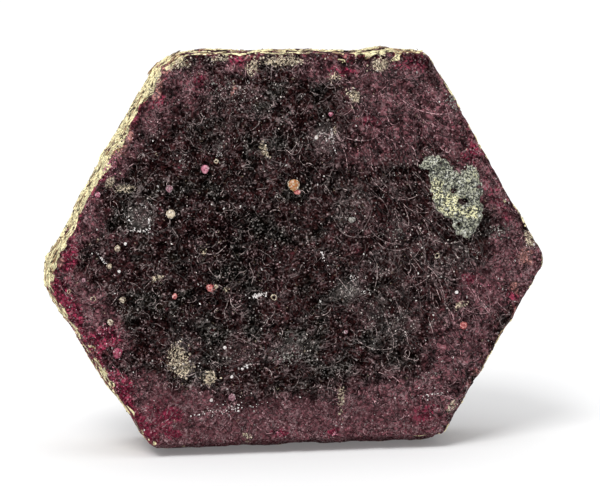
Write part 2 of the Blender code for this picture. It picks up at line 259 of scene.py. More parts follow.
# Loose heaps of small grains on the face: middle, half width and half height, turn, number of grains
# and their size. A cream heap has that number of fibres, and only a share of it as grains
HEAPS = {
    "cream": (
        (-11.0, -10.2, 1.2, 1.9, 20.0, 90, 0.26),
        (-8.3, -11.8, 0.8, 0.8, 0.0, 46, 0.24),
        (-5.0, -17.3, 0.6, 0.35, 0.0, 20, 0.2),
        (3.9, -14.0, 0.35, 1.4, 0.0, 34, 0.2),
        (-2.9, 8.9, 0.4, 0.9, 25.0, 26, 0.2),
        (5.4, 13.6, 0.8, 0.7, -30.0, 36, 0.22),
        (15.2, -5.7, 0.8, 0.35, 0.0, 20, 0.18),
        (-1.0, 16.9, 2.6, 0.55, 0.0, 90, 0.26),
        (-3.9, 16.3, 0.7, 0.9, 0.0, 26, 0.22),
        (7.9, 16.5, 1.0, 0.9, 0.0, 60, 0.26),
        (-6.8, 17.2, 1.1, 0.3, 0.0, 26, 0.2),
        (-10.8, 16.8, 1.8, 0.5, 10.0, 50, 0.22),
        (-12.6, 15.4, 0.5, 1.2, -30.0, 30, 0.2),
        (-17.0, 6.2, 0.5, 0.8, -30.0, 30, 0.22),
        (-15.6, 5.6, 1.3, 0.5, 0.0, 18, 0.16),
        (-12.9, -2.6, 0.6, 0.4, 0.0, 14, 0.18),
        (-6.6, -3.8, 0.35, 0.35, 0.0, 8, 0.2),
        (-8.6, -0.2, 0.4, 0.4, 0.0, 9, 0.16),
        (3.6, 10.6, 0.2, 0.7, -20.0, 10, 0.16),
        (21.6, 0.2, 0.5, 1.0, 20.0, 30, 0.22),
        (14.2, -15.2, 0.4, 0.9, -30.0, 24, 0.2),
        (3.6, 15.4, 0.9, 0.5, 0.0, 18, 0.18),
    ),
    "grey": (
        (-1.1, -10.2, 1.4, 0.7, 0.0, 44, 0.2),
        (14.6, 13.0, 0.45, 1.1, 30.0, 46, 0.22),
        (18.7, 0.9, 0.9, 0.7, 0.0, 40, 0.2),
        (-7.4, 14.6, 1.6, 0.9, 0.0, 26, 0.18),
        (-13.6, 2.0, 0.9, 0.3, 40.0, 20, 0.18),
        (9.2, 1.2, 0.8, 0.7, 0.0, 20, 0.16),
        (4.6, -4.0, 0.9, 0.35, 0.0, 16, 0.14),
        (11.8, -12.4, 1.6, 0.5, 10.0, 26, 0.15),
        (-6.9, 9.4, 0.5, 0.5, 0.0, 14, 0.14),
        (0.4, 4.0, 0.5, 0.4, 0.0, 8, 0.14),
        (14.0, 5.9, 1.7, 1.5, 0.0, 60, 0.18),
        (15.6, 2.6, 1.2, 1.7, 0.0, 60, 0.18),
    ),
    "white": (
        (-3.6, -4.45, 0.6, 0.16, 12.0, 44, 0.21),
        (2.3, -0.8, 0.12, 1.0, 20.0, 18, 0.16),
        (-6.5, -14.8, 3.6, 0.35, 8.0, 70, 0.15),
        (-13.5, 2.6, 0.14, 0.9, -6.0, 24, 0.15),
        (-15.2, 2.55, 1.2, 0.08, -57.0, 24, 0.13),
        (-14.1, 1.75, 0.9, 0.12, 5.0, 26, 0.16),
        (-14.0, 4.1, 0.6, 0.1, -30.0, 10, 0.12),
        (3.35, 10.0, 0.8, 0.09, -80.0, 24, 0.16),
        (3.05, 9.9, 0.4, 0.07, 50.0, 8, 0.14),
        (2.35, 10.3, 0.5, 0.07, -5.0, 9, 0.13),
        (3.6, 8.6, 0.35, 0.08, -60.0, 6, 0.15),
        (5.0, -3.0, 0.6, 0.3, 10.0, 18, 0.12),
        (6.3, -4.3, 0.5, 0.25, -20.0, 12, 0.12),
        (-7.0, 8.5, 0.35, 0.2, 0.0, 10, 0.12),
        (12.4, -14.0, 1.5, 0.12, 4.0, 24, 0.14),
        (-10.4, -10.6, 2.6, 0.4, 0.0, 24, 0.12),
        (-4.9, -10.9, 0.6, 0.14, 30.0, 14, 0.22),
        (-17.7, -0.9, 1.1, 0.08, -52.0, 22, 0.15),
    ),
    "pink": (
        (-17.7, -7.2, 1.1, 0.9, 0.0, 26, 0.2),
        (-16.8, 8.2, 0.9, 2.0, -30.0, 60, 0.2),
        (-17.0, -11.8, 0.7, 2.0, 30.0, 50, 0.2),
        (-1.8, -17.1, 0.4, 0.3, 0.0, 8, 0.2),
        (3.2, -17.4, 0.5, 0.2, 0.0, 8, 0.18),
        (16.6, -4.4, 1.6, 0.6, 0.0, 14, 0.16),
    ),
}

# Single grains sunk into the face: middle, width and height
SINGLE_GRAINS = {
    "pink": (
        (-8.3, 7.2, 0.85, 0.95),
        (-18.1, 5.1, 0.6, 0.6),
        (3.3, 12.0, 0.5, 0.5),
    ),
    "magenta": ((-16.6, -9.3, 1.0, 1.1),),
    "mauve": (
        (-11.6, 5.5, 0.75, 0.8),
        (-6.2, -13.7, 0.75, 0.8),
        (4.4, -8.0, 0.45, 0.45),
        (-19.5, -2.6, 0.5, 0.5),
    ),
    "coral": (
        (-8.0, -3.6, 0.85, 0.9),
        (-11.3, -4.3, 0.55, 0.6),
        (15.4, -7.7, 0.8, 0.8),
        (0.1, 4.95, 0.7, 0.5),
    ),
    "orange": ((-0.2, 5.6, 1.15, 1.25),),
    "cream": (
        (-11.5, 3.2, 0.95, 0.95),
        (-16.4, 0.2, 0.55, 0.6),
        (-17.2, -1.4, 0.55, 0.55),
        (-16.1, -4.5, 0.6, 0.6),
        (-17.2, -6.5, 0.6, 0.65),
        (-7.5, -3.5, 0.36, 0.5),
    ),
    "grey": ((5.1, 2.3, 0.75, 0.6),),
    "white": (
        (-15.7, 0.6, 0.32, 0.32),
        (-16.3, -1.9, 0.34, 0.34),
        (1.9, 9.9, 0.42, 0.42),
        (14.8, -4.6, 0.4, 0.36),
        (-6.8, -9.1, 0.36, 0.36),
        (-6.2, -11.8, 0.36, 0.36),
        (-8.1, -13.9, 0.36, 0.36),
    ),
}

# Thin pale rings on the face: their place and how wide they are
RINGS = (
    (-0.25, 5.65, 1.1),
    (-16.4, 0.2, 0.56),
    (-17.2, -1.4, 0.5),
    (-17.2, -6.5, 0.56),
    (-16.0, -4.5, 0.5),
    (-18.7, -4.3, 0.5),
    (-2.2, -4.6, 0.56),
    (-7.3, 7.9, 0.4),
    (-20.9, -3.6, 0.4),
    (13.0, -1.2, 0.5),
    (1.9, 9.9, 0.36),
)

# For how many fibres, flecks, clusters of crumbs and mica scales a place is sought; how many crumbs lie
# round a single grain, and in a veil for its half width times its half height; and what share of a cream
# heap is grains. A fibre's stride is in radii, and RING_RADIUS is half the thickness of a ring
FIBRES = 3000
FIBRE_RADIUS = 0.026
FIBRE_STRIDE = 6.2
FLECKS = 4400
CLUSTERS = 120
SCALES = 3200
CRUMBS_ROUND_GRAIN = 6
CRUMBS_IN_VEIL = 42.0
CREAM_GRAIN_SHARE = 0.7
RING_RADIUS = 0.05

# Colours of the finishes; grains have two, to vary between
CORE = (0.0026, 0.0017, 0.0012)
CORE_BROWN = (0.0112, 0.0034, 0.0034)
DUSKY = (0.086, 0.0325, 0.0385)
CRIMSON = (0.126, 0.0136, 0.0305)
RUST = (0.235, 0.108, 0.094)
THREAD = (0.46, 0.41, 0.38)
THREAD_PINK = (0.52, 0.30, 0.32)
MICA_CREAM = (1.0, 0.90, 0.54)
MICA_OCHRE = (0.32, 0.18, 0.095)
MICA_SHADE = (0.040, 0.026, 0.018)
ROCK_GREY = (0.150, 0.152, 0.112)
ROCK_CREAM = (0.35, 0.335, 0.20)
ROCK_WHITE = (0.82, 0.82, 0.74)
ROCK_DARK_AND_PIT_SHADE = (0.010, 0.011, 0.009)
GRAIN_TONES = {
    "cream": ((0.78, 0.66, 0.48), (0.15, 0.095, 0.066)),
    "grey": ((0.34, 0.32, 0.28), (0.05, 0.045, 0.04)),
    "white": ((0.96, 0.93, 0.91), (0.60, 0.51, 0.49)),
    "pink": ((0.62, 0.22, 0.30), (0.20, 0.012, 0.05)),
    "magenta": ((0.42, 0.06, 0.13), (0.15, 0.008, 0.025)),
    "mauve": ((0.42, 0.22, 0.26), (0.10, 0.025, 0.04)),
    "coral": ((0.70, 0.26, 0.23), (0.28, 0.02, 0.025)),
    "orange": ((0.44, 0.29, 0.15), (0.40, 0.115, 0.012)),
}
RING_TONES = ((0.80, 0.72, 0.55), (0.30, 0.20, 0.12))
FLECK_TONES = ((0.08, 0.05, 0.05), (0.98, 0.94, 0.90))

# What is noted on each point of the crystal's surface for its finish
SURFACE_NOTES = "ridge glow crimson rust crust aslant waves black veil cream calm".split()

# Between what depths the front face and the walls are cut finer, and from how far out places on the faces
# and on the walls are sought, in millimetres
FRONT_DEPTHS = (-10.0, 0.2)
WALL_DEPTHS = (0.15, 8.8)
RAY_START = 5.0
WALL_RAY_START = 40.0

# Studio: the floor's radius and the height that the lamps are aimed at, in metres; where the camera looks
# and from how far, in millimetres; the way it is seen from there, in degrees; and the lens
FLOOR_RADIUS = 6.0
LAMPS_AIM = 0.018
CAMERA_TARGET = (-0.166, -6.465, 19.497)
CAMERA_DISTANCE = 262.0
CAMERA_AZIMUTH = -8.0
CAMERA_ELEVATION = 10.0
FOCAL_LENGTH = 173.4


def ease(value):
    """Smooth step from 0 at 0 to 1 at 1."""
    value = max(0.0, min(1.0, value))
    return value * value * (3.0 - 2.0 * value)


def facing(degrees):
    """Unit vector across the c-axis that points this way, seen from the front."""
    angle = math.radians(degrees)
    return Vector((math.cos(angle), 0.0, math.sin(angle)))


CREAM_PATCHES = tuple((*heap[:5], 1.0) for heap in HEAPS["cream"])
# Sunk beds round the single grains, where the face is painted dark as the shade round each grain
GRAIN_SHADE_BEDS = tuple(
    (x, z, 0.75 * width, 0.75 * height, 0.0, 1.0)
    for grains in SINGLE_GRAINS.values()
    for x, z, width, height in grains
)
SIDE_WAYS = tuple((facing(turn), *rest) for turn, *rest in SIDES)


def nearest_side(place):
    """How far a place lies inside the nearest side of the outline, and that side's mica, crimson and rust."""
    return min((distance - place.dot(way), *rest) for way, distance, *rest in SIDE_WAYS)


def on_front(place):
    """1 in the front half of the plate and 0 behind it."""
    return 1.0 if place.y < 0.5 * THICKNESS else 0.0


def in_spots(place, spots):
    """How strongly a place of the face lies in these spots, from 0 to 1."""
    strongest = 0.0
    for x, z, half_width, half_height, turn, strength in spots:
        east, up = place.x - x, place.z - z
        reach = 1.25 * max(half_width, half_height)
        if abs(east) > reach or abs(up) > reach:
            continue
        angle = math.radians(turn)
        along = (east * math.cos(angle) + up * math.sin(angle)) / half_width
        across = (up * math.cos(angle) - east * math.sin(angle)) / half_height
        strongest = max(strongest, strength * (1.0 - ease(math.hypot(along, across) - 0.25)))
    return strongest


def ridge_line(place, size, half_width):
    """Height from 0 to 1 of a thin ridge that wanders over a face, this far from the next one."""
    return max(0.0, 1.0 - abs(noise.noise(place / size)) / half_width)


def face_relief(place):
    """Height in millimetres of the fine relief of a basal face, and its ridges less its pits."""
    curled = place + 0.45 * noise.noise_vector(place / 1.2)
    elsewhere = curled + Vector((31.0, 0.0, 7.0))
    ridges = max(ridge_line(curled, 0.85, 0.26), 0.85 * ridge_line(elsewhere, 0.55, 0.3))
    pits = ease((noise.noise(place / 0.8 + Vector((0.0, 17.0, 5.0))) - 0.1) / 0.4)
    broad = noise.fractal(place / 1.9, 1.0, 2.2, 2)
    return 0.12 * broad + 0.07 * ridges - 0.2 * pits, ridges - pits


def wall_relief(place):
    """Height in millimetres of the fine relief of a prism face, and the thin layers that follow its rim."""
    layered = Vector((0.3 * place.x, 3.0 * place.y, 0.3 * place.z))
    layers = noise.fractal(layered, 0.9, 2.1, 3)
    crumbs = noise.fractal(place / 1.3, 0.8, 2.1, 3)
    return 0.13 * layers + 0.11 * crumbs, layers


def as_mesh(bm, name):
    """A finished bmesh as a mesh."""
    mesh = bpy.data.meshes.new(name)
    bm.to_mesh(mesh)
    bm.free()
    return mesh


def in_scene(name, data):
    """A new object in the scene, of this mesh, lamp or camera."""
    thing = bpy.data.objects.new(name, data)
    bpy.context.scene.collection.objects.link(thing)
    return thing


def subdivided(bm):
    """The mesh of a bmesh after one level of Subdivision Surface."""
    mesh = as_mesh(bm, "rough_out")
    rough_out = in_scene("rough_out", mesh)
    rounding = rough_out.modifiers.new("rounding", "SUBSURF")
    rounding.levels = rounding.render_levels = 1
    seen = rough_out.evaluated_get(bpy.context.evaluated_depsgraph_get())
    rounded = bpy.data.meshes.new_from_object(seen)
    bpy.data.objects.remove(rough_out)
    bpy.data.meshes.remove(mesh)
    return rounded


def cut_between(bm, depths, cuts):
    """Cuts up the edges that lie between two depths of the plate."""
    shallow, deep = depths
    edges = [edge for edge in bm.edges if all(shallow < vert.co.y < deep for vert in edge.verts)]
    bmesh.ops.subdivide_edges(bm, edges=edges, cuts=cuts, use_grid_fill=True)


def fine_crystal():
    """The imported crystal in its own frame, rounded off and cut fine enough for its surface relief."""
    bm = bmesh.new()
    bm.from_mesh(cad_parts["ruby_crystal"].data)
    bm.transform(TO_CRYSTAL)
    bmesh.ops.remove_doubles(bm, verts=bm.verts[:], dist=0.001)
    bmesh.ops.join_triangles(
        bm,
        faces=bm.faces[:],
        angle_face_threshold=math.radians(50.0),
        angle_shape_threshold=math.radians(60.0),
    )
    rounded = subdivided(bm)
    bm = bmesh.new()
    bm.from_mesh(rounded)
    cut_between(bm, FRONT_DEPTHS, 2)
    cut_between(bm, WALL_DEPTHS, 1)
    bm.normal_update()
    return bm


def crust_at(place, in_by, cover, wall_share, streak):
    """How much mica crust a place has: torn layers on the walls, and what spills over the front rim."""
    spill = ease((cover - 0.55 + 0.9 * noise.noise(place / 0.9)) / 0.3) * ease(1.0 - in_by / 0.65)
    spill *= ease((1.2 - place.y) / 0.8)
    bare = 0.9 * ease((place.y - BARE_DEPTH + 1.2 * noise.noise(place / 1.6)) / 0.7)
    patches = cover - bare + 0.35 * noise.noise(place / 2.6) + 0.25 * noise.noise(place / 0.9)
    return max(ease((patches + 0.6 * streak - 0.45) / 0.25) * wall_share, spill)


def surface_at(place, normal):
    """Height in millimetres of the fine relief at a place, and what its finish has to know there."""
    flat = Vector((place.x, 0.0, place.z))
    drift = place + 0.7 * noise.noise_vector(place / 2.4) + 0.25 * noise.noise_vector(place / 0.6)
    in_by, cover, red, rusty = nearest_side(drift)
    front = on_front(place)
    wall_share = ease((0.75 - abs(normal.y)) / 0.35)
    face_height, ridge = face_relief(place)
    wall_height, streak = wall_relief(place)

    rim = 1.0 - in_by / (1.6 + 1.4 * noise.noise(flat / 4.0))
    edge = 1.0 - in_by / (1.0 + 0.9 * noise.noise(flat / 1.7))
    behind = (1.0 - front) * (0.45 + 0.8 * noise.noise(flat / 4.6))
    # At the foot of the front face the glow is raised: partly the rim's own red, partly painted light that
    # lifts the shade where the rim faces down
    foot = front * ease(-place.z - 16.5)
    shaded_bed = in_spots(place, GRAIN_SHADE_BEDS) * front
    veil = in_spots(drift, VEILS) * front
    cream = in_spots(drift, CREAM_PATCHES) * front
    cream += (1.0 - front) * ease((noise.noise(flat / 2.3) - 0.36) / 0.2)
    crimson = max(in_spots(drift, CRIMSONS) * front, red * ease(rim), 0.5 * behind * ease(rim + 0.6))
    glow = max(in_spots(drift, GLOWS) * front, foot, 0.8 * behind, crimson, 0.5 * wall_share)

    height = face_height + wall_share * (wall_height - face_height)
    height += 0.12 * cream + 0.25 * veil - 0.12 * shaded_bed
    notes = {
        "ridge": ridge + wall_share * (streak - ridge),
        "glow": max(0.0, min(1.0, glow)),
        "crimson": crimson,
        "rust": max(in_spots(drift, RUSTS) * front, rusty * ease(edge)),
        "crust": crust_at(place, in_by, cover, wall_share, streak),
        "aslant": in_spots(drift, ASLANT),
        "waves": in_spots(drift, IN_WAVES),
        # black holds the face's own blackest parts and the painted shade round the sunk grains
        "black": max(in_spots(drift, BLACKS) * front, shaded_bed),
        "veil": veil,
        "cream": cream,
        "calm": in_spots(drift, CALMS) * front,
    }
    return height, notes


def dress_surface(bm):
    """Raises the fine relief, except at the foot, and notes on each point how it is coloured."""
    layers = {name: bm.verts.layers.float.new(name) for name in SURFACE_NOTES}
    moves = []
    for vert in bm.verts:
        height, notes = surface_at(vert.co, vert.normal)
        above_foot = ease((vert.co.z + AXIS_HEIGHT - 0.15) / 0.5)
        moves.append(vert.normal * above_foot * height)
        for name, value in notes.items():
            vert[layers[name]] = value
    for vert, move in zip(bm.verts, moves, strict=True):
        vert.co += move


def face_hit(solid, x, z, front=True):
    """Where a basal face lies at this place, and its normal there, or None for both past its edge."""
    start = -RAY_START if front else THICKNESS + RAY_START
    hit, normal, _, _ = solid.ray_cast(Vector((x, start, z)), INTO_FACE if front else -INTO_FACE)
    if hit is None or abs(normal.y) < 0.4:
        return None, None
    return hit, normal


def add_copy(bm, pattern, move):
    """Adds a copy of a small mesh to a bmesh."""
    copy = pattern.copy()
    copy.transform(move)
    bm.from_mesh(copy, face_normals=False, vertex_normals=False)
    bpy.data.meshes.remove(copy)


def pattern_of(bm, name):
    """A small pattern as a mesh, with its faces turned outwards."""
    bmesh.ops.recalc_face_normals(bm, faces=bm.faces[:])
    return as_mesh(bm, name)


def points_of(extruded):
    """The new points of an extrusion."""
    return [item for item in extruded["geom"] if isinstance(item, bmesh.types.BMVert)]


def lump_pattern(number, subdivisions, roughness):
    """A rough round lump, one unit wide."""
    bm = bmesh.new()
    bmesh.ops.create_icosphere(bm, subdivisions=subdivisions, radius=0.5)
    for vert in bm.verts:
        swell = noise.fractal(vert.co * 2.3 + Vector((7.3 * number, 0.0, 0.0)), 0.7, 2.3, 3)
        vert.co *= 1.0 + roughness * swell
    return pattern_of(bm, "lump")


def scale_pattern(rng):
    """A thin mica scale with a broken outline, one unit long, wide and thick."""
    bm = bmesh.new()
    bmesh.ops.create_circle(bm, cap_ends=True, segments=7, radius=0.5)
    for vert in bm.verts:
        vert.co *= rng.uniform(0.65, 1.15)
    raised = points_of(bmesh.ops.extrude_face_region(bm, geom=bm.faces[:]))
    bmesh.ops.scale(bm, vec=(0.8, 0.75, 1.0), verts=raised)
    bmesh.ops.translate(bm, vec=(0.0, 0.0, 1.0), verts=raised)
    return pattern_of(bm, "scale")


def fibre_pattern(rng, steps, bend):
    """A three-sided fibre that wanders across the face from X = 0, in strides, one unit in radius."""
    bm = bmesh.new()
    bmesh.ops.create_circle(bm, cap_ends=True, segments=3, radius=1.0)
    bmesh.ops.rotate(bm, verts=bm.verts[:], matrix=Matrix.Rotation(math.radians(90.0), 3, "Y"))
    tip = bm.faces[:]
    heading = rng.uniform(-0.3, 0.3)
    curl = rng.uniform(-bend, bend)
    middle = Vector()
    for _ in range(steps):
        grown = bmesh.ops.extrude_face_region(bm, geom=tip)
        ring = points_of(grown)
        tip = [item for item in grown["geom"] if isinstance(item, bmesh.types.BMFace)]
        turn = curl + rng.gauss(0.0, 0.35 * bend)
        heading += turn
        stride = FIBRE_STRIDE * facing(math.degrees(heading))
        bmesh.ops.translate(bm, vec=stride, verts=ring)
        middle += stride
        bmesh.ops.rotate(bm, verts=ring, cent=middle, matrix=Matrix.Rotation(-turn, 3, "Y"))
    bmesh.ops.scale(bm, vec=(0.4, 0.4, 0.4), verts=ring, space=Matrix.Translation(-middle))
    return pattern_of(bm, "fibre")


def any_turn(rng):
    """A turn that may go any way."""
    return Euler([rng.uniform(0.0, math.tau) for _ in range(3)]).to_matrix().to_4x4()


def heap_place(rng, half_width, half_height, turn):
    """A place in a heap, measured from its middle; most of them are near the middle."""
    offset = Vector((rng.gauss(0.0, 0.5 * half_width), 0.0, rng.gauss(0.0, 0.5 * half_height)))
    offset.rotate(Euler((0.0, -math.radians(turn), 0.0)))
    return offset


def random_face_place(rng):
    """A place anywhere on the outline of the face."""
    while True:
        place = Vector((rng.uniform(-23.0, 23.0), 0.0, rng.uniform(-19.0, 18.0)))
        if nearest_side(place)[0] > 0.15:
            return place


def add_crumb(bm, rng, crumbs, place, width):
    """One of the crumbs at this place, turned any way."""
    turned = any_turn(rng)
    add_copy(bm, rng.choice(crumbs), Matrix.Translation(place) @ turned @ Matrix.Scale(width, 4))


def add_heap(bm, solid, rng, crumbs, heap, share):
    """A loose heap on the front face, with this share of its grains."""
    x, z, half_width, half_height, turn, count, size = heap
    for _ in range(int(share * count)):
        offset = heap_place(rng, half_width, half_height, turn)
        hit, normal = face_hit(solid, x + offset.x, z + offset.z)
        if hit is None:
            continue
        width = 0.72 * size * rng.uniform(0.4, 1.4)
        turned = any_turn(rng)
        squashed = Matrix.Diagonal((width, 0.75 * width, width * rng.uniform(0.7, 1.2), 1.0))
        lift = normal * (0.2 * size * rng.random())
        add_copy(bm, rng.choice(crumbs), Matrix.Translation(hit + lift) @ squashed @ turned)


def add_single_grain(bm, solid, rng, crumbs, number, grain):
    """A rounded grain sunk into the front face, with a few crumbs at its edge."""
    x, z, width, height = grain
    hit, normal = face_hit(solid, x, z)
    shape = Matrix.Diagonal((0.85 * width, 0.5 * min(width, height), 0.85 * height, 1.0))
    add_copy(bm, lump_pattern(20 + number, 3, 0.24), Matrix.Translation(hit + 0.05 * normal) @ shape)
    for _ in range(CRUMBS_ROUND_GRAIN):
        way = facing(rng.uniform(0.0, 360.0))
        crumb = 0.14 * width * rng.uniform(0.5, 1.3)
        beside = 0.42 * Vector((width * way.x, 0.0, height * way.z))
        edge, _ = face_hit(solid, x + beside.x, z + beside.z)
        if edge is not None:
            add_crumb(bm, rng, crumbs, edge, crumb)


def add_grains(bm, solid, rng, tone):
    """The heaps and the single grains of one colour."""
    crumbs = [lump_pattern(number, 1, 0.5) for number in range(8)]
    share = CREAM_GRAIN_SHARE if tone == "cream" else 1.0
    for heap in HEAPS.get(tone, ()):
        add_heap(bm, solid, rng, crumbs, heap, share)
    for number, grain in enumerate(SINGLE_GRAINS.get(tone, ())):
        add_single_grain(bm, solid, rng, crumbs, number, grain)


def add_flecks(bm, solid, rng):
    """Specks of dust and mica, no bigger than a sand grain, strewn over both basal faces."""
    crumbs = [lump_pattern(40 + number, 1, 0.6) for number in range(6)]
    for number in range(FLECKS):
        place = random_face_place(rng)
        hit, _ = face_hit(solid, place.x, place.z, front=number % 4 > 0)
        if hit is None or noise.noise(place / 1.4) < rng.uniform(-0.6, 0.3):
            continue
        width = 0.05 + 0.12 * rng.random() ** 4
        turned = any_turn(rng)
        shape = Matrix.Diagonal((width * rng.uniform(1.0, 2.2), width, width, 1.0))
        add_copy(bm, rng.choice(crumbs), Matrix.Translation(hit) @ turned @ shape)


def add_crumbs(bm, solid, rng):
    """Pale crumbs: small clusters strewn over both basal faces, and those of the veils."""
    crumbs = [lump_pattern(60 + number, 1, 0.6) for number in range(6)]
    for number in range(CLUSTERS):
        middle = random_face_place(rng)
        reach = rng.uniform(0.1, 0.45)
        for _ in range(rng.randint(3, 14)):
            x, z = rng.gauss(middle.x, reach), rng.gauss(middle.z, 0.7 * reach)
            hit, _ = face_hit(solid, x, z, front=number % 4 > 0)
            if hit is not None:
                add_crumb(bm, rng, crumbs, hit, rng.uniform(0.05, 0.13))
    for x, z, half_width, half_height, turn, strength in VEILS:
        for _ in range(int(CRUMBS_IN_VEIL * half_width * half_height * strength)):
            offset = heap_place(rng, half_width, half_height, turn)
            hit, _ = face_hit(solid, x + offset.x, z + offset.z)
            if hit is not None:
                add_crumb(bm, rng, crumbs, hit, 0.05 + 0.12 * rng.random() ** 2)
    note_ground(bm)


def add_rings(bm, solid):
    """Thin pale rings with a wavering outline, laid on the front face."""
    for x, z, width in RINGS:
        ring = bmesh.new()
        start = Matrix.Translation((0.5 * width - RING_RADIUS, 0.0, 0.0))
        bmesh.ops.create_circle(ring, segments=6, radius=RING_RADIUS, matrix=start)
        bmesh.ops.spin(
            ring,
            geom=ring.verts[:] + ring.edges[:],
            cent=(0.0, 0.0, 0.0),
            axis=INTO_FACE,
            angle=math.tau,
            steps=20,
            use_merge=True,
        )
        for vert in ring.verts:
            vert.co += 0.22 * width * noise.noise_vector(vert.co / (0.4 * width) + Vector((x, 0.0, z)))
            hit, _ = face_hit(solid, x + vert.co.x, z + vert.co.z)
            vert.co = (x + vert.co.x, hit.y + vert.co.y, z + vert.co.z)
        add_copy(bm, pattern_of(ring, "ring"), Matrix())


def note_ground(bm):
    """Notes on each point how the ruby round it glows, whether it is cream, and how its threads run."""
    glow = bm.verts.layers.float.new("glow")
    cream = bm.verts.layers.float.new("cream")
    aslant = bm.verts.layers.float.new("aslant")
    for vert in bm.verts:
        vert[glow] = in_spots(vert.co, GLOWS)
        vert[cream] = in_spots(vert.co, CREAM_PATCHES) * on_front(vert.co)
        vert[aslant] = in_spots(vert.co, ASLANT)


def draped(solid, pattern, move, front):
    """A copy of a fibre, laid on a basal face, or None where it would reach past the edge."""
    copy = pattern.copy()
    copy.transform(move)
    for vert in copy.vertices:
        hit, _ = face_hit(solid, vert.co.x, vert.co.z, front)
        if hit is None:
            bpy.data.meshes.remove(copy)
            return None
        vert.co.y = hit.y + (vert.co.y if front else -vert.co.y)
    return copy


def add_fibres(bm, solid, rng):
    """Fine pale fibres over both basal faces: curly, aslant or wavy by place."""
    curly = [fibre_pattern(rng, rng.choice((4, 6, 8, 11)), 0.5) for _ in range(40)]
    straight = [fibre_pattern(rng, rng.choice((5, 8, 12, 18)), 0.1) for _ in range(16)]
    places = [random_face_place(rng) for _ in range(FIBRES)]
    for x, z, half_width, half_height, turn, count, _ in HEAPS["cream"]:
        middle = Vector((x, 0.0, z))
        places += [middle + heap_place(rng, half_width, half_height, turn) for _ in range(count)]
    for number, place in enumerate(places):
        front = number % 5 > 0 or number >= FIBRES
        aslant, waves = in_spots(place, ASLANT), in_spots(place, IN_WAVES)
        if rng.random() < 0.9 * aslant:
            pattern, turn = rng.choice(straight), math.radians(rng.gauss(THREAD_SLANT, 9.0))
        elif rng.random() < 0.7 * waves:
            pattern, turn = rng.choice(curly), math.radians(rng.gauss(-4.0, 22.0))
        else:
            pattern, turn = rng.choice(curly), rng.uniform(0.0, math.tau)
        size = FIBRE_RADIUS * rng.uniform(0.6, 1.2) * (1.0 + 0.25 * aslant)
        stretch = Matrix.Diagonal((rng.uniform(0.6, 1.5), 1.0, rng.uniform(0.7, 1.3), 1.0))
        turned = Matrix.Translation(place) @ Matrix.Rotation(turn, 4, "Y")
        fibre = draped(solid, pattern, turned @ Matrix.Scale(size, 4) @ stretch, front)
        if fibre is not None:
            bm.from_mesh(fibre, face_normals=False, vertex_normals=False)
            bpy.data.meshes.remove(fibre)
    note_ground(bm)


def add_scales(bm, solid, rng):
    """Mica scales on the prism faces, their long way round the rim, thickest where the crust is."""
    scales = [scale_pattern(rng) for _ in range(12)]
    for _ in range(SCALES):
        way = facing(rng.uniform(0.0, 360.0))
        depth = rng.uniform(0.2, THICKNESS - 0.3)
        hit, normal, _, _ = solid.ray_cast(WALL_RAY_START * way + Vector((0.0, depth, 0.0)), -way)
        if hit is None or normal.z < -0.7 or abs(normal.y) > 0.75:
            continue
        bare = 0.8 if depth > BARE_DEPTH else 0.0
        if rng.random() > 0.15 + nearest_side(hit)[1] - bare:
            continue
        along = normal.cross(INTO_FACE).normalized()
        across = along.cross(normal)
        basis = Matrix((along, across, normal)).transposed().to_4x4()
        length = 0.2 + 1.5 * rng.random() ** 3
        shape = Matrix.Diagonal((length, rng.uniform(0.1, 0.4), rng.uniform(0.05, 0.14), 1.0))
        tilt = Euler([math.radians(rng.gauss(0.0, 12.0 / (0.5 + length))) for _ in range(3)])
        placed = Matrix.Translation(hit - 0.05 * normal) @ basis @ tilt.to_matrix().to_4x4()
        add_copy(bm, rng.choice(scales), placed @ shape)


def inside_rock(place):
    """How far a place lies inside the outline of the host-rock patch, negative outside it."""
    corners = [Vector((x, 0.0, z)) for x, z in ROCK_OUTLINE]
    nearest, crossings = 100.0, 0
    for start, end in zip(corners, corners[1:] + corners[:1], strict=True):
        edge = end - start
        share = max(0.0, min(1.0, (place - start).dot(edge) / edge.length_squared))
        nearest = min(nearest, (place - start - share * edge).length)
        if (start.z > place.z) != (end.z > place.z):
            if place.x < start.x + edge.x * (place.z - start.z) / edge.z:
                crossings += 1
    return nearest if crossings % 2 else -nearest


